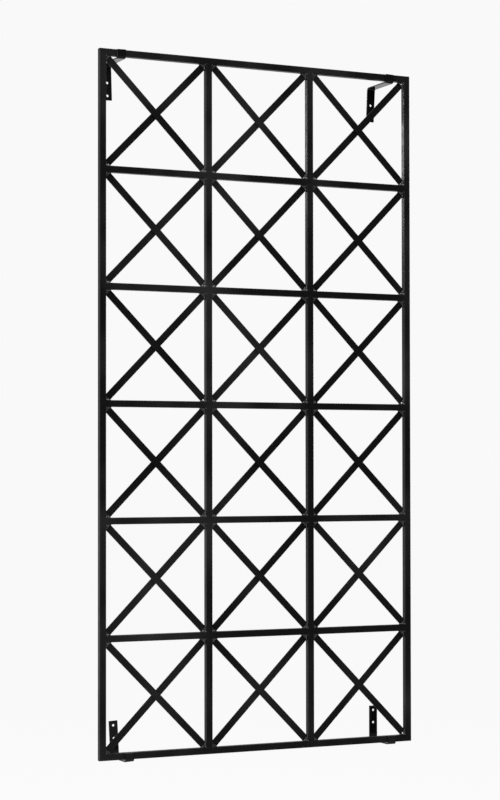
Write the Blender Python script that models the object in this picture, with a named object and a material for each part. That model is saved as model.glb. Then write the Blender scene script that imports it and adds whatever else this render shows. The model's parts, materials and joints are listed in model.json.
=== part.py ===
"""A metal wall trellis: a welded panel of square tube with a flat-bar X in each cell, hung on four hooked
wall brackets. Metres, +Z up, the wall at Y = 0 behind the panel, the front towards -Y, and the origin on
the wall at the middle of the panel's width and height.
"""

import math

import bmesh
import bpy
from mathutils import Matrix, Vector

# The panel
WIDTH = 0.914
HEIGHT = 1.829
COLUMNS = 3
ROWS = 6
WALL_DISTANCE = 0.105    # the wall to the panel's front face

# Square tube
TUBE = 0.0175
TUBE_WALL = 0.0012
TUBE_CORNER = 0.0022     # outside radius
CORNER_STEPS = 4

# Flat bar of the lattice
FLAT_WIDTH = 0.0185
FLAT_THICK = 0.003
FLAT_EDGE = 0.0004       # chamfer of the rolled edge

# Bracket strap
STRAP_WIDTH = 0.024
STRAP_THICK = 0.0035
STRAP_BEND = 0.0044      # inside radius of a bend
BEND_STEPS = 6
STRAP_EDGE = 0.0004      # chamfer of the rolled edge
LIP_OVER_RAIL = 0.0005   # how far the hook's lip stands above the rail it holds
PLATE_LENGTH = 0.095     # the arm's outer face to the plate's free end
HOLE_DIAMETER = 0.007
HOLE_SPACING = 0.034
HOLE_FROM_END = 0.012
HOLE_SIDES = 20

# From a stile's inner face to the middle of a bracket
TOP_LEFT_INSET = 0.041
TOP_RIGHT_INSET = 0.047
BOTTOM_LEFT_INSET = 0.0635
BOTTOM_RIGHT_INSET = 0.0455

# How far a bracket rocks on its rail before it is screwed down, in degrees about +Y
TOP_LEFT_LEAN = -1.5
TOP_RIGHT_LEAN = 2.7
BOTTOM_LEFT_LEAN = -3.0
BOTTOM_RIGHT_LEAN = 0.0

GAP = 0.0003             # between two pieces that touch

# Worked out from the sizes above
PITCH_X = (WIDTH - TUBE) / COLUMNS    # centre to centre of two neighbouring uprights
PITCH_Z = (HEIGHT - TUBE) / ROWS      # centre to centre of two neighbouring rails
FRONT = -WALL_DISTANCE
MIDDLE = FRONT + TUBE / 2
STILE_X = WIDTH / 2 - TUBE / 2
RAIL_Z = HEIGHT / 2 - TUBE / 2
UNDER_RAIL = max(GAP, STRAP_BEND - TUBE_CORNER)    # the rail's edge sits in the bend, over the arm
COLUMN_NAMES = ("left", "middle", "right")
MULLION_NAMES = ("left", "right")


def clear_scene():
    for thing in list(bpy.data.objects):
        bpy.data.objects.remove(thing, do_unlink=True)


def paint(name, colour, roughness):
    """Powder coat over steel."""
    material = bpy.data.materials.new(name)
    material.use_nodes = True
    shader = material.node_tree.nodes["Principled BSDF"]
    shader.inputs["Base Color"].default_value = (*colour, 1.0)
    shader.inputs["Roughness"].default_value = roughness
    shader.inputs["Metallic"].default_value = 0.0
    return material


def put(name, mesh, parent, place, turn=None):
    thing = bpy.data.objects.new(name, mesh)
    bpy.context.scene.collection.objects.link(thing)
    thing.parent = parent
    thing.location = place
    if turn is not None:
        thing.rotation_euler = turn.to_euler()
    return thing


def new_object(name, mesh, material, parent, place=(0, 0, 0), turn=None):
    if not mesh.materials:
        mesh.materials.append(material)
    return put(name, mesh, parent, place, turn)


def soften_edges(thing, width):
    """A small chamfer on the rolled edges of flat stock."""
    edge = thing.modifiers.new("rolled edge", "BEVEL")
    edge.width = width
    edge.segments = 1
    edge.limit_method = "ANGLE"
    edge.angle_limit = math.radians(50)


def finished_mesh(bm, name):
    bmesh.ops.recalc_face_normals(bm, faces=bm.faces)
    mesh = bpy.data.meshes.new(name)
    bm.to_mesh(mesh)
    bm.free()
    return mesh


def round_by_angle(mesh, degrees=35):
    mesh.shade_smooth()
    mesh.set_sharp_from_angle(angle=math.radians(degrees))


def rounded_square(side, radius, steps):
    """Points of a square with round corners, anticlockwise."""
    points = []
    for corner in range(4):
        start = corner * math.pi / 2
        centre = Vector((side / 2 - radius, side / 2 - radius))
        centre.rotate(Matrix.Rotation(start, 2))
        for step in range(steps + 1):
            angle = start + step / steps * math.pi / 2
            points.append((centre.x + radius * math.cos(angle), centre.y + radius * math.sin(angle)))
    return points


def tube_mesh(name, length, mitred=False):
    """An open square tube along Z. Where it is mitred, both ends slope, and its side at +X is the long one."""
    inner_radius = max(TUBE_CORNER - TUBE_WALL, TUBE_WALL / 4)
    outer = rounded_square(TUBE, TUBE_CORNER, CORNER_STEPS)
    inner = rounded_square(TUBE - 2 * TUBE_WALL, inner_radius, CORNER_STEPS)
    bm = bmesh.new()

    def ring(points, sign):
        made = []
        for x, y in points:
            shortened = TUBE / 2 - x if mitred else 0.0
            made.append(bm.verts.new((x, y, sign * (length / 2 - shortened))))
        return made

    low_out, high_out = ring(outer, -1), ring(outer, 1)
    low_in, high_in = ring(inner, -1), ring(inner, 1)
    count = len(outer)
    for i in range(count):
        j = (i + 1) % count
        bm.faces.new((low_out[i], low_out[j], high_out[j], high_out[i]))
        bm.faces.new((low_in[j], low_in[i], high_in[i], high_in[j]))
        bm.faces.new((high_out[i], high_out[j], high_in[j], high_in[i]))
        bm.faces.new((low_out[j], low_out[i], low_in[i], low_in[j]))
    mesh = finished_mesh(bm, name)
    round_by_angle(mesh)
    return mesh


def box_mesh(name, size):
    bm = bmesh.new()
    bmesh.ops.create_cube(bm, size=1.0)
    bmesh.ops.scale(bm, vec=size, verts=bm.verts)
    return finished_mesh(bm, name)


def cutter(name, mesh, parent, place):
    thing = put(name, mesh, parent, place)
    thing.hide_render = True
    thing.display_type = "WIRE"
    return thing


def cut(target, tool):
    modifier = target.modifiers.new("cut " + tool.name, "BOOLEAN")
    modifier.operation = "DIFFERENCE"
    modifier.solver = "EXACT"
    modifier.object = tool


def upright_x(index):
    """The middle of an upright, counted from the left stile."""
    return -STILE_X + index * PITCH_X


def rail_z(index):
    """The middle of a rail, counted from the top rail."""
    return RAIL_Z - index * PITCH_Z


def build_outer_frame(panel, material):
    """Two stiles and two rails, mitred at the corners, half a gap back from each mitre."""
    setback = GAP / 2 * math.sqrt(2)
    stile = tube_mesh("stile", HEIGHT - 2 * setback, mitred=True)
    rail = tube_mesh("end rail", WIDTH - 2 * setback, mitred=True)
    outwards_left = Matrix.Rotation(math.pi, 3, "Z")
    new_object("stile_left", stile, material, panel, (-STILE_X, MIDDLE, 0), outwards_left)
    new_object("stile_right", stile, material, panel, (STILE_X, MIDDLE, 0))
    upwards = Matrix.Rotation(-math.pi / 2, 3, "Y")
    downwards = Matrix.Rotation(math.pi / 2, 3, "Y")
    new_object("rail_top", rail, material, panel, (0, MIDDLE, RAIL_Z), upwards)
    new_object("rail_bottom", rail, material, panel, (0, MIDDLE, -RAIL_Z), downwards)


def build_inner_frame(panel, material):
    """The mullions and mid rails. Each mid rail's front half runs across the back half of each mullion."""
    mullion = tube_mesh("mullion", HEIGHT - 2 * TUBE - 2 * GAP)
    mid_rail = tube_mesh("mid rail", WIDTH - 2 * TUBE - 2 * GAP)
    along_x = Matrix.Rotation(math.pi / 2, 3, "Y")
    lap = TUBE + 2 * GAP
    half_depth = TUBE / 2 + GAP / 2
    # A notch's cutter reaches a whole tube past the face that it opens
    notch = box_mesh("lap", (lap, half_depth + TUBE, lap))
    mullions = []
    for index in range(1, COLUMNS):
        name = MULLION_NAMES[index - 1] if COLUMNS == 3 else str(index)
        mullions.append(new_object("mullion_" + name, mullion, material, panel, (upright_x(index), MIDDLE, 0)))
    for row in range(1, ROWS):
        rail = new_object(f"mid_rail_{row}", mid_rail, material, panel, (0, MIDDLE, rail_z(row)), along_x)
        for index, upright in enumerate(mullions, start=1):
            place = Vector((upright_x(index), MIDDLE, rail_z(row)))
            offset = Vector((0, (half_depth + TUBE) / 2 - GAP / 2, 0))
            cut(upright, cutter(f"front lap {row} {index}", notch, panel, place - offset))
            cut(rail, cutter(f"back lap {row} {index}", notch, panel, place + offset))


def build_lattice(panel, material):
    """Square-cut flat bars from corner to corner of each cell, the rising one behind the falling one."""
    cell_x = PITCH_X - TUBE
    cell_z = PITCH_Z - TUBE
    slope = math.atan2(cell_z, cell_x)
    # The end's nearer corner stands a gap off the rail or the upright
    end_gap = max(
        (FLAT_WIDTH / 2 * math.cos(slope) + GAP) / math.sin(slope),
        (FLAT_WIDTH / 2 * math.sin(slope) + GAP) / math.cos(slope),
    )
    length = math.hypot(cell_x, cell_z) - 2 * end_gap
    bar = box_mesh("lattice bar", (length, FLAT_THICK, FLAT_WIDTH))
    depth = (FLAT_THICK + GAP) / 2
    for row in range(ROWS):
        for column in range(COLUMNS):
            column_name = COLUMN_NAMES[column] if COLUMNS == 3 else str(column + 1)
            x = (upright_x(column) + upright_x(column + 1)) / 2
            z = (rail_z(row) + rail_z(row + 1)) / 2
            for kind, side in (("falling", 1), ("rising", -1)):
                name = f"brace_row{row + 1}_{column_name}_{kind}"
                turn = Matrix.Rotation(side * slope, 3, "Y")
                brace = new_object(name, bar, material, panel, (x, MIDDLE - side * depth, z), turn)
                soften_edges(brace, FLAT_EDGE)


def strap_outline(start, stretches):
    """The side view of a bent strap, as points (y, z) along one face and back along the other.

    The strap's middle line starts at the given point and runs down. Each stretch is a length and the
    quarter turn after it: 1 to the left of the way it runs, -1 to the right, 0 for none.
    """
    middle_radius = STRAP_BEND + STRAP_THICK / 2
    point, heading = Vector(start), -math.pi / 2
    path = [(point, heading)]
    for length, quarter in stretches:
        point = point + length * Vector((math.cos(heading), math.sin(heading)))
        path.append((point, heading))
        if quarter:
            to_centre = quarter * middle_radius * Vector((-math.sin(heading), math.cos(heading)))
            centre = point + to_centre
            for step in range(1, BEND_STEPS + 1):
                turned = quarter * step / BEND_STEPS * math.pi / 2
                from_centre = -to_centre
                from_centre.rotate(Matrix.Rotation(turned, 2))
                path.append((centre + from_centre, heading + turned))
            point, heading = path[-1]
    half = STRAP_THICK / 2
    one_face = [p + half * Vector((-math.sin(a), math.cos(a))) for p, a in path]
    other_face = [p - half * Vector((-math.sin(a), math.cos(a))) for p, a in path]
    return one_face + other_face[::-1]


def bracket_mesh(name, plate_turn):
    """A strap from the lip's tip, down in front of the rail, back under it and along the wall.

    Its origin is under the middle of the rail, on the arm's upper face.
    """
    front_face = -TUBE / 2 - GAP - STRAP_THICK
    back_face = WALL_DISTANCE - TUBE / 2
    lip_tip = UNDER_RAIL + TUBE + LIP_OVER_RAIL
    outside_radius = STRAP_BEND + STRAP_THICK
    lip = lip_tip + STRAP_THICK - outside_radius
    arm = back_face - front_face - 2 * outside_radius
    plate = PLATE_LENGTH - outside_radius
    outline = strap_outline(
        (front_face + STRAP_THICK / 2, lip_tip), ((lip, 1), (arm, plate_turn), (plate, 0))
    )
    bm = bmesh.new()
    face = bm.faces.new([bm.verts.new((-STRAP_WIDTH / 2, y, z)) for y, z in outline])
    pulled = bmesh.ops.extrude_face_region(bm, geom=[face])
    moved = [item for item in pulled["geom"] if isinstance(item, bmesh.types.BMVert)]
    bmesh.ops.translate(bm, vec=(STRAP_WIDTH, 0, 0), verts=moved)
    mesh = finished_mesh(bm, name)
    round_by_angle(mesh)
    return mesh


def hole_mesh():
    """A cutter for a screw hole, along Y and longer than the strap is thick."""
    bm = bmesh.new()
    bmesh.ops.create_cone(
        bm, cap_ends=True, segments=HOLE_SIDES, radius1=HOLE_DIAMETER / 2, radius2=HOLE_DIAMETER / 2,
        depth=3 * STRAP_THICK, matrix=Matrix.Rotation(math.pi / 2, 4, "X"),
    )
    return finished_mesh(bm, "screw hole")


def build_bracket(name, mesh, hole, material, x, rail, lean, plate_up):
    """One bracket under a rail. Its empty stands on the line that it slides along, and rocks it.

    Rocked, it sits lower, so that the higher edge of its arm stands as far under the rail.
    """
    rocked = math.radians(lean)
    drop = UNDER_RAIL + STRAP_WIDTH / 2 * abs(math.sin(rocked))
    turn = Matrix.Rotation(rocked, 3, "Y")
    holder = put(name + " holder", None, None, (x, MIDDLE, rail - TUBE / 2 - drop), turn)
    bracket = new_object(name, mesh, material, holder)
    soften_edges(bracket, STRAP_EDGE)
    end = PLATE_LENGTH - STRAP_THICK if plate_up else -PLATE_LENGTH
    towards_arm = -1 if plate_up else 1
    plate_middle = WALL_DISTANCE - TUBE / 2 - STRAP_THICK / 2
    for number in range(2):
        z = end + towards_arm * (HOLE_FROM_END + number * HOLE_SPACING)
        cut(bracket, cutter(f"{name} hole {number + 1}", hole, holder, (0, plate_middle, z)))


def build_brackets(material):
    """The top pair's wall plates hang down from their arms, and the bottom pair's stand up."""
    hanging = bracket_mesh("bracket with hanging plate", -1)
    standing = bracket_mesh("bracket with standing plate", 1)
    hole = hole_mesh()
    inner = STILE_X - TUBE / 2
    for name, mesh, x, rail, lean, plate_up in (
        ("bracket_top_left", hanging, TOP_LEFT_INSET - inner, RAIL_Z, TOP_LEFT_LEAN, False),
        ("bracket_top_right", hanging, inner - TOP_RIGHT_INSET, RAIL_Z, TOP_RIGHT_LEAN, False),
        ("bracket_bottom_left", standing, BOTTOM_LEFT_INSET - inner, -RAIL_Z, BOTTOM_LEFT_LEAN, True),
        ("bracket_bottom_right", standing, inner - BOTTOM_RIGHT_INSET, -RAIL_Z, BOTTOM_RIGHT_LEAN, True),
    ):
        build_bracket(name, mesh, hole, material, x, rail, lean, plate_up)


def main():
    clear_scene()
    panel = put("welded panel", None, None, (0, 0, 0))
    tube_paint = paint("black powder coat on tube", (0.012, 0.012, 0.013), 0.42)
    flat_paint = paint("black powder coat on flat bar", (0.011, 0.011, 0.012), 0.46)
    strap_paint = paint("black powder coat on strap", (0.010, 0.010, 0.011), 0.40)
    build_outer_frame(panel, tube_paint)
    build_inner_frame(panel, tube_paint)
    build_lattice(panel, flat_paint)
    build_brackets(strap_paint)


main()
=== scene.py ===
"""The looks of a metal wall trellis: black powder coat, welds, a pale studio and the camera."""

import json
import math
import random

import bpy
from mathutils import Matrix, Vector


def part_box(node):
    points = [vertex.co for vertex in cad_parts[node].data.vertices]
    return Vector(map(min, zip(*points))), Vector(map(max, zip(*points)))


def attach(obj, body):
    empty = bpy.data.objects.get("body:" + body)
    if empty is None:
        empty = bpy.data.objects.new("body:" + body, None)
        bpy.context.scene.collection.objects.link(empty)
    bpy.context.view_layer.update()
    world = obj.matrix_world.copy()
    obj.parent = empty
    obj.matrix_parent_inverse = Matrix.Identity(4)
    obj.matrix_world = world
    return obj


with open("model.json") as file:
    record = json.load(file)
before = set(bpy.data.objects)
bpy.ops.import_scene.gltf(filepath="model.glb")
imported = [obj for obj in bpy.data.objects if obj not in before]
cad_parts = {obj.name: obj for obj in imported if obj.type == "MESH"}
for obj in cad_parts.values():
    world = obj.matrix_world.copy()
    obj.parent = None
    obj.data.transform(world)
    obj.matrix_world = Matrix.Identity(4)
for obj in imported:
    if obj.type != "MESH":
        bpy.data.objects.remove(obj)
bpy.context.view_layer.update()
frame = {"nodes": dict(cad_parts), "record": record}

MM = 0.001

# The panel, read from the frame
COLUMNS = ("left", "middle", "right")
ROWS = 6
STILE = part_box("stile_left")
TUBE = STILE[1][0] - STILE[0][0]
PANEL_FRONT = STILE[0][1]
PANEL_BACK = STILE[1][1]
PANEL_MIDDLE = (PANEL_FRONT + PANEL_BACK) / 2
PANEL_FOOT = STILE[0][2]
UPRIGHTS = ["stile_left", "mullion_left", "mullion_right", "stile_right"]
RAILS = ["rail_top"] + [f"mid_rail_{row}" for row in range(1, ROWS)] + ["rail_bottom"]
TUBE_CORNER = 2.2 * MM    # outside radius of a tube's edge
BRACE_WIDTH = 18.5 * MM

# Weld metal, laid down in drops
SEED = 7
WELD_GRAIN = 0.7 * MM                  # mesh size of weld metal
BEAD = 2.1 * MM                        # radius of a run of weld
RIPPLE = 1.7 * MM                      # from one ripple of a run to the next
DROP_WANDER = 0.25                     # how far a drop of a run strays, in mm
DROP_SIZES = (0.88, 1.12)              # its smallest and largest size, to the run's radius

# Corner welds, in the pockets between a brace's end, a rail and an upright
CORNER_KINDS = 3                       # unlike welds, dealt out at random
POCKET = BRACE_WIDTH / math.sqrt(2)    # a leg of the gap at a brace's square end
WEB_STEP = 2.3 * MM                    # between the drops that fill a pocket
WEB_INSET = 0.5 * MM                   # from the corner to the first of them
WEB_PAST = 0.6 * MM                    # how far past the pocket's leg they may go
WEB_LIFT = 0.5                         # how far they lie out of level, in mm
WEB_DROPS = (1.9, 2.5)                 # their radii, in mm
FILLET_BEAD = BEAD * 0.9               # radius of the runs along the rail and the upright
FILLET_APART = 1.9 * MM                # half the distance between the front run and the back one
FILLET_START = 1.0 * MM                # from the corner to the start of a run
FILLET_OFF = 0.8 * MM                  # from the tube's face to the middle of a run
FILLET_PAST = 1.4                      # the most that a run goes past the pocket's leg, in mm
# Pockets with a hole left in them: row, column, at its right side, at its low end. The hole is given
# by its place from the upright and from the rail, and by how far the drops of weld stay from it.
OPEN_POCKETS = {
    (1, "right", True, False): (3.0 * MM, 3.0 * MM, 3.3 * MM),
    (3, "left", True, True): (5.6 * MM, 3.4 * MM, 3.2 * MM),
    (3, "right", True, True): (5.6 * MM, 3.4 * MM, 3.0 * MM),
    (6, "right", True, True): (5.6 * MM, 3.4 * MM, 2.9 * MM),
}

# Ground welds on the front's grooves and on the mitres
GROUND = 0.06 * MM                     # how far a ground weld stands proud
GROOVE_DEPTH = 2.4 * MM
GROOVE_WIDTH = 5.2 * MM
GROOVE_SHORT = 1.6 * MM                # how much shorter than the tube is wide
GROOVE_EDGE = 0.5 * MM
SEAM_WIDTH = 1.5 * MM
SEAM_SHORT = 3.4 * MM                  # how much shorter than the mitre is long
SEAM_EDGE = 0.4 * MM

# Runs of weld on the back, left as they were laid
RUN_INSET = 1.2 * MM                   # from a tube's edge to the middle of the last drop
RUN_SUNK = 0.9 * MM                    # from a tube's back to the middle of a run
MITRE_RUN_INSET = 1.3 * BEAD

# Powder coat, with its patterns by their scale to the metre
CLOUD_SCALE = 4.5         # lighter patches, partly a coat whose tone varies and partly painted sheen
CLOUD_START = 0.45        # the clouds' value at a patch's edge, and at its lightest
CLOUD_END = 0.80
CLOUD_PLACE = (27.99, -24.76, 24.01)    # set so that the lighter patches of painted sheen fall about as photographed
HAZE_SCALE = 38.0         # changes of gloss
DUST_SCALE = 160.0        # grains of dust under the coat
DUST_SIZE = (0.03, 0.09)  # a grain's flat top and its foot, to the distance between grains
DUST_HEIGHT = 0.8         # to the height of the orange peel
RELIEF = 0.1 * MM         # height of the orange peel

# The camera
FOCAL_PIXELS = 2044.0
PICTURE_HEIGHT = 800.0
SENSOR = 36.0
CENTRE_PIXEL = 431.2
CAMERA_YAW = 25.40
CAMERA_PITCH = 1.12
CAMERA_ROLL = -0.075
CAMERA_LEFT = 2.354
CAMERA_BEFORE_PANEL = 4.890
CAMERA_OVER_FOOT = 0.740

# The studio
BACKGROUND = 0.947        # what the camera sees behind the object
FLOOR_SIZE = 400.0
FLOOR_UNDER_FOOT = 0.40   # from the panel's foot down to the floor
FLOOR_PAINT = 0.80
FLOOR_GLOW = 0.94         # the share of the floor's look that is plain background
FLOOR_LIT = 0.28          # what the lit floor shows far from the lamps
FLOOR_MIRRORED = (1.0, 6.0)    # along Y, where the mirrored floor starts to pale, and is pale
STUDIO_TURN = (-0.35, 0.30)    # as directions along Y, the end of the front and the start of the back
STUDIO_FRONT = 0.10       # how bright the studio is before the panel, and behind it
STUDIO_BACK = 0.45
STUDIO_MIRRORED = 0.20    # the share of the background that the steel mirrors over the floor

# Lamps: name, place, aim, size, power in watts, spread in degrees
LAMPS = (
    ("overhead", (0.0, -0.9, 3.0), (0, -0.1, 0), (3.0, 2.4), 90, 180.0),
    ("left", (-3.5, -1.0, 1.2), (0, -0.1, 0), (1.5, 2.5), 50, 180.0),
    ("back left", (-0.53, 1.41, 1.0), (0.45, -0.1, 0.75), (0.3, 0.5), 0.14, 22.0),
)


def deselect_all():
    bpy.ops.object.select_all(action="DESELECT")


def select(things):
    deselect_all()
    for thing in things:
        thing.select_set(True)
    bpy.context.view_layer.objects.active = things[0]


def apply_modifiers(thing):
    select([thing])
    for modifier in list(thing.modifiers):
        bpy.ops.object.modifier_apply(modifier=modifier.name)


def joined(things, name):
    """One object of several, with its faces pointing out and its place in its mesh."""
    select(things)
    if len(things) > 1:
        bpy.ops.object.join()
    whole = bpy.context.view_layer.objects.active
    bpy.ops.object.transform_apply(location=True, rotation=True, scale=True)
    bpy.ops.object.mode_set(mode="EDIT")
    bpy.ops.mesh.select_all(action="SELECT")
    bpy.ops.mesh.normals_make_consistent(inside=False)
    bpy.ops.object.mode_set(mode="OBJECT")
    whole.name = name
    whole.data.name = name
    return whole


def copy_of(source, matrix):
    """A copy with its own mesh, moved by the matrix."""
    thing = source.copy()
    thing.data = source.data.copy()
    bpy.context.scene.collection.objects.link(thing)
    thing.data.transform(matrix)
    return thing


def remove(things):
    for thing in things:
        bpy.data.objects.remove(thing, do_unlink=True)


def weld_metal(name, drops):
    """Weld metal laid down as overlapping drops, each a place and a radius, melted into one skin."""
    deselect_all()
    balls = []
    for place, radius in drops:
        bpy.ops.mesh.primitive_ico_sphere_add(subdivisions=2, radius=radius, location=place)
        balls.append(bpy.context.object)
    metal = joined(balls, name)
    melt = metal.modifiers.new("melt", "REMESH")
    melt.mode = "VOXEL"
    melt.voxel_size = WELD_GRAIN
    flow = metal.modifiers.new("flow", "SMOOTH")
    flow.factor = 0.5
    flow.iterations = 3
    apply_modifiers(metal)
    bpy.ops.object.shade_smooth()
    return metal


def run_of_drops(start, end, radius, rng):
    """Drops along a line, each a little off its place and size, as a hand lays them."""
    start, end = Vector(start), Vector(end)
    count = max(2, round((end - start).length / RIPPLE) + 1)
    drops = []
    for i in range(count):
        place = start.lerp(end, i / (count - 1))
        wander = Vector([rng.uniform(-DROP_WANDER, DROP_WANDER) * MM for axis in range(3)])
        drops.append((place + wander, radius * rng.uniform(*DROP_SIZES)))
    return drops


def corner_weld(name, level, rng, hole=None):
    """The weld that fills the pocket between a brace's square end, a rail and an upright.

    Its corner is at the origin, with the rail along +X and the upright along +Z. The middle of the
    tubes is at Y = 0, and the middle of the brace at Y = level. More metal runs along the inner corner.
    A hole is a place and a radius that the drops stay out of.
    """
    drops = []
    columns = int((POCKET + WEB_PAST) / WEB_STEP)
    for i in range(columns + 1):
        for k in range(columns + 1 - i):
            lift = rng.uniform(-WEB_LIFT, WEB_LIFT) * MM
            place = (WEB_INSET + i * WEB_STEP, level + lift, WEB_INSET + k * WEB_STEP)
            drops.append((place, rng.uniform(*WEB_DROPS) * MM))
    for side in (-1, 1):
        y = level + side * FILLET_APART
        end = POCKET + rng.uniform(0.0, FILLET_PAST) * MM
        along_rail = (FILLET_START, y, FILLET_OFF), (end, y, FILLET_OFF)
        drops += run_of_drops(*along_rail, FILLET_BEAD, rng)
        end = POCKET + rng.uniform(0.0, FILLET_PAST) * MM
        along_upright = (FILLET_OFF, y, FILLET_START), (FILLET_OFF, y, end)
        drops += run_of_drops(*along_upright, FILLET_BEAD, rng)
    half = TUBE / 2 - TUBE_CORNER
    inner_corner = (WEB_INSET, -half, WEB_INSET), (WEB_INSET, half, WEB_INSET)
    drops += run_of_drops(*inner_corner, BEAD, rng)
    if hole is not None:
        x, z, radius = hole
        drops = [drop for drop in drops if math.hypot(drop[0][0] - x, drop[0][2] - z) > radius]
    return weld_metal(name, drops)


def upright_x(index):
    low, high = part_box(UPRIGHTS[index])
    return (low[0] + high[0]) / 2


def rail_z(index):
    low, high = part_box(RAILS[index])
    return (low[2] + high[2]) / 2


def make_corner_welds():
    """Two braces to a cell, each welded into its two corners.

    The falling one lies before the middle of the tubes, and the rising one as far behind it.
    """
    rng = random.Random(SEED)
    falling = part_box("brace_row1_left_falling")
    level = (falling[0][1] + falling[1][1]) / 2 - PANEL_MIDDLE
    kinds = {}
    for sign in (1, -1):
        kinds[sign] = [
            corner_weld(f"corner weld {sign} {kind}", sign * level, rng) for kind in range(CORNER_KINDS)
        ]
    holed = {}
    for pocket, hole in OPEN_POCKETS.items():
        sign = 1 if pocket[2] == pocket[3] else -1
        holed[pocket] = corner_weld("holed weld", sign * level, rng, hole)
    pieces = []
    for row in range(ROWS):
        copies = []
        for column, column_name in enumerate(COLUMNS):
            for right in (False, True):
                for low in (False, True):
                    sx, sz = (-1 if right else 1), (1 if low else -1)
                    x = upright_x(column + right) + sx * TUBE / 2
                    z = rail_z(row + low) + sz * TUBE / 2
                    sign = 1 if right == low else -1
                    place = Matrix.Translation((x, PANEL_MIDDLE, z))
                    mirror = Matrix.Diagonal((sx, 1, sz, 1))
                    source = rng.choice(kinds[sign])
                    source = holed.get((row + 1, column_name, right, low), source)
                    copies.append(copy_of(source, place @ mirror))
        pieces.append((joined(copies, f"brace_welds_row_{row + 1}"), "weld"))
    remove(kinds[1] + kinds[-1] + list(holed.values()))
    return pieces


def groove_places(front):
    """Where two tubes meet on the panel's front or back: middle (x, z) and angle of each groove.

    On the front the mid rails run over the mullions, and on the back the mullions run over the rails.
    """
    places = []
    last = len(UPRIGHTS) - 1
    for row in range(1, ROWS):
        z = rail_z(row)
        places.append((upright_x(0) + TUBE / 2, z, 90))
        places.append((upright_x(last) - TUBE / 2, z, 90))
        for index in (1, 2):
            for side in (-1, 1):
                if front:
                    places.append((upright_x(index), z + side * TUBE / 2, 0))
                else:
                    places.append((upright_x(index) + side * TUBE / 2, z, 90))
    for index in (1, 2):
        places.append((upright_x(index), rail_z(0) - TUBE / 2, 0))
        places.append((upright_x(index), rail_z(ROWS) + TUBE / 2, 0))
    return places


def mitre_places():
    last = len(UPRIGHTS) - 1
    return [
        (upright_x(0), rail_z(0), -45),
        (upright_x(last), rail_z(0), 45),
        (upright_x(0), rail_z(ROWS), 45),
        (upright_x(last), rail_z(ROWS), -45),
    ]


def ground_weld(size, edge):
    """A filled and ground groove: a bar along X with soft long edges, its middle at the origin."""
    deselect_all()
    bpy.ops.mesh.primitive_cube_add(size=1.0)
    bar = bpy.context.object
    bar.scale = size
    bpy.ops.object.transform_apply(location=False, rotation=False, scale=True)
    bpy.ops.object.mode_set(mode="EDIT")
    bpy.ops.mesh.select_all(action="SELECT")
    bpy.ops.mesh.bevel(offset=edge, offset_type="OFFSET", segments=3, profile=0.5)
    bpy.ops.object.mode_set(mode="OBJECT")
    bpy.ops.object.shade_smooth()
    return bar


def turned_in_front(x, y, z, degrees):
    """Moves a bar along X to a place, turned about the way the panel faces."""
    return Matrix.Translation((x, y, z)) @ Matrix.Rotation(math.radians(-degrees), 4, "Y")


def make_ground_welds():
    """The front's grooves and mitres, filled and ground flush."""
    y = PANEL_FRONT - GROUND + GROOVE_DEPTH / 2
    groove = ground_weld((TUBE - GROOVE_SHORT, GROOVE_DEPTH, GROOVE_WIDTH), GROOVE_EDGE)
    copies = []
    for x, z, angle in groove_places(True):
        copies.append(copy_of(groove, turned_in_front(x, y, z, angle)))
    fills = joined(copies, "ground_welds_front")
    seam = ground_weld((TUBE * math.sqrt(2) - SEAM_SHORT, TUBE + 2 * GROUND, SEAM_WIDTH), SEAM_EDGE)
    copies = []
    for x, z, angle in mitre_places():
        copies.append(copy_of(seam, turned_in_front(x, PANEL_MIDDLE, z, angle)))
    mitres = joined(copies, "mitre_welds")
    remove([groove, seam])
    return [(fills, "ground weld"), (mitres, "ground weld")]


def make_back_welds():
    """The back's grooves and mitres, with the runs of weld left as they were laid."""
    rng = random.Random(SEED + 1)
    half = TUBE / 2 - RUN_INSET
    sources = []
    for kind in range(CORNER_KINDS):
        drops = run_of_drops((-half, 0, 0), (half, 0, 0), BEAD, rng)
        sources.append(weld_metal(f"run of weld {kind}", drops))
    long_half = (TUBE / 2 - MITRE_RUN_INSET) * math.sqrt(2)
    drops = run_of_drops((-long_half, 0, 0), (long_half, 0, 0), BEAD, rng)
    long_run = weld_metal("long run", drops)
    y = PANEL_BACK - RUN_SUNK
    copies = []
    for x, z, angle in groove_places(False):
        flip = Matrix.Rotation(math.pi * rng.randrange(2), 4, "Y")
        copies.append(copy_of(rng.choice(sources), turned_in_front(x, y, z, angle) @ flip))
    for x, z, angle in mitre_places():
        copies.append(copy_of(long_run, turned_in_front(x, y, z, angle)))
    piece = joined(copies, "weld_runs_back")
    remove(sources + [long_run])
    return [(piece, "weld")]


def new_group(name, inputs, outputs):
    group = bpy.data.node_groups.new(name, "ShaderNodeTree")
    for label, kind, value in inputs:
        socket = group.interface.new_socket(label, in_out="INPUT", socket_type=kind)
        socket.default_value = value
    for label, kind in outputs:
        group.interface.new_socket(label, in_out="OUTPUT", socket_type=kind)
    return group, group.nodes.new("NodeGroupInput"), group.nodes.new("NodeGroupOutput")


def noise_node(tree, place, scale, detail=2.0):
    noise = tree.nodes.new("ShaderNodeTexNoise")
    noise.inputs["Detail"].default_value = detail
    if isinstance(scale, float):
        noise.inputs["Scale"].default_value = scale
    else:
        tree.links.new(scale, noise.inputs["Scale"])
    tree.links.new(place, noise.inputs["Vector"])
    return noise.outputs["Fac"]


def range_node(tree, value, low, high, start=0.3, end=0.7):
    spread = tree.nodes.new("ShaderNodeMapRange")
    spread.inputs["From Min"].default_value = start
    spread.inputs["From Max"].default_value = end
    for label, amount in (("To Min", low), ("To Max", high)):
        if isinstance(amount, float):
            spread.inputs[label].default_value = amount
        else:
            tree.links.new(amount, spread.inputs[label])
    tree.links.new(value, spread.inputs["Value"])
    return spread.outputs[0]


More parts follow.
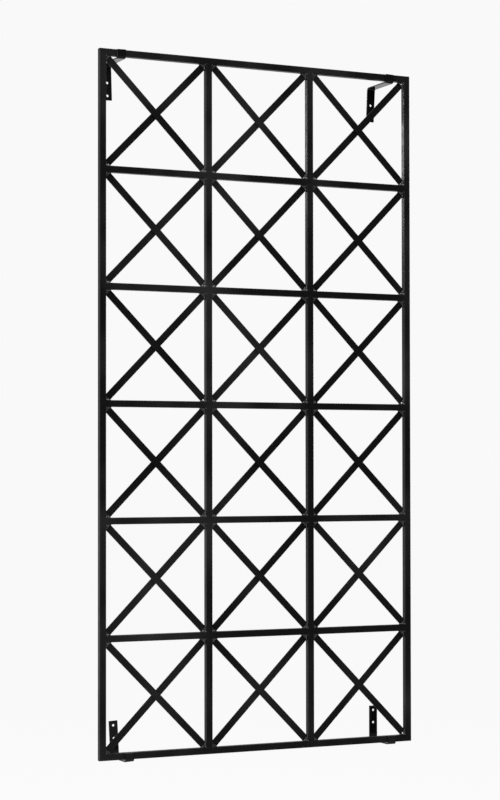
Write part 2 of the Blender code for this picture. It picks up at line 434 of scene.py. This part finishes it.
def maths_node(tree, operation, *values):
    node = tree.nodes.new("ShaderNodeMath")
    node.operation = operation
    for socket, value in zip(node.inputs, values):
        if isinstance(value, (int, float)):
            socket.default_value = value
        else:
            tree.links.new(value, socket)
    return node.outputs[0]


def powder_coat_group():
    """Baked powder coat: orange peel, haze, lighter patches that are partly painted sheen, and grains
    of dust under it.
    """
    group, given, made = new_group(
        "powder coat",
        (
            ("Place", "NodeSocketVector", (0, 0, 0)),
            ("Coat Colour", "NodeSocketColor", (0.005, 0.005, 0.005, 1)),
            ("Lighter Tone And Sheen Colour", "NodeSocketColor", (0.008, 0.008, 0.008, 1)),
            ("Gloss Low", "NodeSocketFloat", 0.34),
            ("Gloss High", "NodeSocketFloat", 0.42),
            ("Peel", "NodeSocketFloat", 900.0),
        ),
        (
            ("Colour", "NodeSocketColor"),
            ("Roughness", "NodeSocketFloat"),
            ("Height", "NodeSocketFloat"),
        ),
    )
    place = given.outputs["Place"]
    drift = group.nodes.new("ShaderNodeMapping")
    drift.inputs["Location"].default_value = CLOUD_PLACE
    group.links.new(place, drift.inputs["Vector"])
    # Lighter patches: partly the coat's own changes of tone, partly painted sheen where the steel looks
    # lit.
    clouds = noise_node(group, drift.outputs["Vector"], CLOUD_SCALE)
    mix = group.nodes.new("ShaderNodeMix")
    mix.data_type = "RGBA"
    tone_and_sheen_patches = range_node(group, clouds, 0.0, 1.0, CLOUD_START, CLOUD_END)
    group.links.new(tone_and_sheen_patches, mix.inputs["Factor"])
    group.links.new(given.outputs["Coat Colour"], mix.inputs["A"])
    group.links.new(given.outputs["Lighter Tone And Sheen Colour"], mix.inputs["B"])
    group.links.new(mix.outputs["Result"], made.inputs["Colour"])
    haze = noise_node(group, place, HAZE_SCALE, 3.0)
    rough = range_node(group, haze, given.outputs["Gloss Low"], given.outputs["Gloss High"])
    group.links.new(rough, made.inputs["Roughness"])
    peel = noise_node(group, place, given.outputs["Peel"])
    cells = group.nodes.new("ShaderNodeTexVoronoi")
    cells.inputs["Scale"].default_value = DUST_SCALE
    group.links.new(place, cells.inputs["Vector"])
    grains = range_node(group, cells.outputs["Distance"], 1.0, 0.0, *DUST_SIZE)
    grains = maths_node(group, "MULTIPLY", grains, DUST_HEIGHT)
    height = maths_node(group, "ADD", peel, grains)
    group.links.new(height, made.inputs["Height"])
    return group


def coat(name, group, values, bump, specular):
    """Powder coat as a finished material. Constants sit on the shader itself."""
    material = bpy.data.materials.new(name)
    material.use_nodes = True
    tree = material.node_tree
    shader = tree.nodes["Principled BSDF"]
    shader.inputs["Specular IOR Level"].default_value = specular
    place = tree.nodes.new("ShaderNodeTexCoord")
    skin = tree.nodes.new("ShaderNodeGroup")
    skin.node_tree = group
    for label, value in values.items():
        skin.inputs[label].default_value = value
    relief = tree.nodes.new("ShaderNodeBump")
    relief.inputs["Strength"].default_value = bump
    relief.inputs["Distance"].default_value = RELIEF
    tree.links.new(place.outputs["Object"], skin.inputs["Place"])
    tree.links.new(skin.outputs["Colour"], shader.inputs["Base Color"])
    tree.links.new(skin.outputs["Roughness"], shader.inputs["Roughness"])
    tree.links.new(skin.outputs["Height"], relief.inputs["Height"])
    tree.links.new(relief.outputs["Normal"], shader.inputs["Normal"])
    return material


def grey(level):
    return (level, level, level * 1.03, 1.0)


def make_coats():
    group = powder_coat_group()
    # Each coat's lighter colour fills patches that are partly painted sheen.
    return {
        "tube_coat": coat("black coat on tube", group, {
            "Coat Colour": grey(0.0070), "Lighter Tone And Sheen Colour": grey(0.0380),
            "Gloss Low": 0.29, "Gloss High": 0.40, "Peel": 700.0,
        }, bump=0.55, specular=0.15),
        "flat_bar_coat": coat("black coat on flat bar", group, {
            "Coat Colour": grey(0.0062), "Lighter Tone And Sheen Colour": grey(0.0290),
            "Gloss Low": 0.31, "Gloss High": 0.43, "Peel": 800.0,
        }, bump=0.60, specular=0.15),
        "bracket_coat": coat("black coat on strap", group, {
            "Coat Colour": grey(0.0046), "Lighter Tone And Sheen Colour": grey(0.0100),
            "Gloss Low": 0.12, "Gloss High": 0.18, "Peel": 1000.0,
        }, bump=0.25, specular=0.25),
        # The weld's coat is painted several times lighter than the tube's: painted glints where weld
        # metal catches light from above.
        "weld": coat("black coat on weld with painted glints", group, {
            "Coat Colour": grey(0.032), "Lighter Tone And Sheen Colour": grey(0.062),
            "Gloss Low": 0.22, "Gloss High": 0.36, "Peel": 1400.0,
        }, bump=0.50, specular=1.0),
        "ground weld": coat("black coat on ground weld", group, {
            "Coat Colour": grey(0.0074), "Lighter Tone And Sheen Colour": grey(0.0390),
            "Gloss Low": 0.33, "Gloss High": 0.45, "Peel": 500.0,
        }, bump=0.70, specular=0.15),
    }


def dress(coats, welds):
    slot_of = {part["node"]: part["material_slot"] for part in frame["record"]["subparts"]}
    for name, node in frame["nodes"].items():
        node.data.materials.clear()
        node.data.materials.append(coats[slot_of[name]])
    for piece, finish in welds:
        piece.data.materials.clear()
        piece.data.materials.append(coats[finish])
        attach(piece, "panel")


def make_camera():
    data = bpy.data.cameras.new("camera")
    data.sensor_width = SENSOR
    data.lens = FOCAL_PIXELS * SENSOR / PICTURE_HEIGHT
    data.shift_y = (CENTRE_PIXEL - PICTURE_HEIGHT / 2) / PICTURE_HEIGHT
    data.clip_end = 100.0
    camera = bpy.data.objects.new("camera", data)
    bpy.context.scene.collection.objects.link(camera)
    before = PANEL_FRONT - CAMERA_BEFORE_PANEL
    camera.location = (-CAMERA_LEFT, before, PANEL_FOOT + CAMERA_OVER_FOOT)
    yaw = Matrix.Rotation(math.radians(-CAMERA_YAW), 3, "Z")
    level = yaw @ Matrix.Rotation(math.radians(90), 3, "X")
    tilt = Matrix.Rotation(math.radians(CAMERA_PITCH), 3, "X")
    roll = Matrix.Rotation(math.radians(CAMERA_ROLL), 3, "Z")
    camera.rotation_euler = (level @ tilt @ roll).to_euler()
    bpy.context.scene.camera = camera


def seen_rays(tree, mirrored):
    """1 for a ray from the camera or through glass, the share mirrored for a glossy one, else 0."""
    path = tree.nodes.new("ShaderNodeLightPath")
    through = path.outputs["Is Transmission Ray"]
    direct = maths_node(tree, "MAXIMUM", path.outputs["Is Camera Ray"], through)
    glossy = maths_node(tree, "MULTIPLY", path.outputs["Is Glossy Ray"], mirrored)
    return maths_node(tree, "MAXIMUM", direct, glossy)


def along_y(tree, place, start, end, low, high):
    """A value that goes from low to high along Y, between start and end."""
    axes = tree.nodes.new("ShaderNodeSeparateXYZ")
    tree.links.new(place, axes.inputs[0])
    return range_node(tree, axes.outputs["Y"], low, high, start, end)


def make_floor():
    """A floor in the background's tone with a faint shadow. The steel mirrors it as pale far back."""
    deselect_all()
    height = PANEL_FOOT - FLOOR_UNDER_FOOT
    bpy.ops.mesh.primitive_plane_add(size=FLOOR_SIZE, location=(0, 0, height))
    floor = bpy.context.object
    floor.name = "floor"
    material = bpy.data.materials.new("pale floor")
    material.use_nodes = True
    tree = material.node_tree
    shader = tree.nodes["Principled BSDF"]
    shader.inputs["Base Color"].default_value = (FLOOR_PAINT, FLOOR_PAINT, FLOOR_PAINT, 1)
    shader.inputs["Roughness"].default_value = 0.9
    shader.inputs["Specular IOR Level"].default_value = 0.0
    glow = tree.nodes.new("ShaderNodeEmission")
    level = (BACKGROUND - (1 - FLOOR_GLOW) * FLOOR_LIT) / FLOOR_GLOW
    glow.inputs["Color"].default_value = (1, 1, 1, 1)
    glow.inputs["Strength"].default_value = level
    mix = tree.nodes.new("ShaderNodeMixShader")
    place = tree.nodes.new("ShaderNodeTexCoord")
    mirrored = along_y(tree, place.outputs["Object"], *FLOOR_MIRRORED, 0.0, 1.0)
    share = maths_node(tree, "MULTIPLY", seen_rays(tree, mirrored), FLOOR_GLOW)
    tree.links.new(share, mix.inputs[0])
    tree.links.new(shader.outputs[0], mix.inputs[1])
    tree.links.new(glow.outputs[0], mix.inputs[2])
    tree.links.new(mix.outputs[0], tree.nodes["Material Output"].inputs["Surface"])
    floor.data.materials.append(material)


def make_world():
    """Near white to the camera. The object is lit by a studio that is dark in front and pale behind."""
    world = bpy.data.worlds.new("studio")
    bpy.context.scene.world = world
    world.use_nodes = True
    tree = world.node_tree
    background = tree.nodes["Background"]
    background.inputs["Color"].default_value = (1, 1, 1, 1)
    place = tree.nodes.new("ShaderNodeTexCoord")
    way = place.outputs["Generated"]
    lit = along_y(tree, way, *STUDIO_TURN, STUDIO_FRONT, STUDIO_BACK)
    mirrored = along_y(tree, way, *STUDIO_TURN, 0.0, STUDIO_MIRRORED)
    pick = tree.nodes.new("ShaderNodeMix")
    pick.inputs["B"].default_value = BACKGROUND
    tree.links.new(seen_rays(tree, mirrored), pick.inputs["Factor"])
    tree.links.new(lit, pick.inputs["A"])
    tree.links.new(pick.outputs["Result"], background.inputs["Strength"])


def area_light(name, place, aim, size, power, spread):
    data = bpy.data.lights.new(name, "AREA")
    data.shape = "RECTANGLE"
    data.size, data.size_y = size
    data.energy = power
    data.spread = math.radians(spread)
    lamp = bpy.data.objects.new(name, data)
    bpy.context.scene.collection.objects.link(lamp)
    lamp.location = place
    lamp.rotation_euler = (Vector(aim) - Vector(place)).to_track_quat("-Z", "Y").to_euler()
    lamp.visible_camera = False


make_camera()
make_floor()
make_world()
for lamp in LAMPS:
    area_light(*lamp)
dress(make_coats(), make_corner_welds() + make_ground_welds() + make_back_welds())
bpy.context.scene.view_settings.view_transform = "Standard"
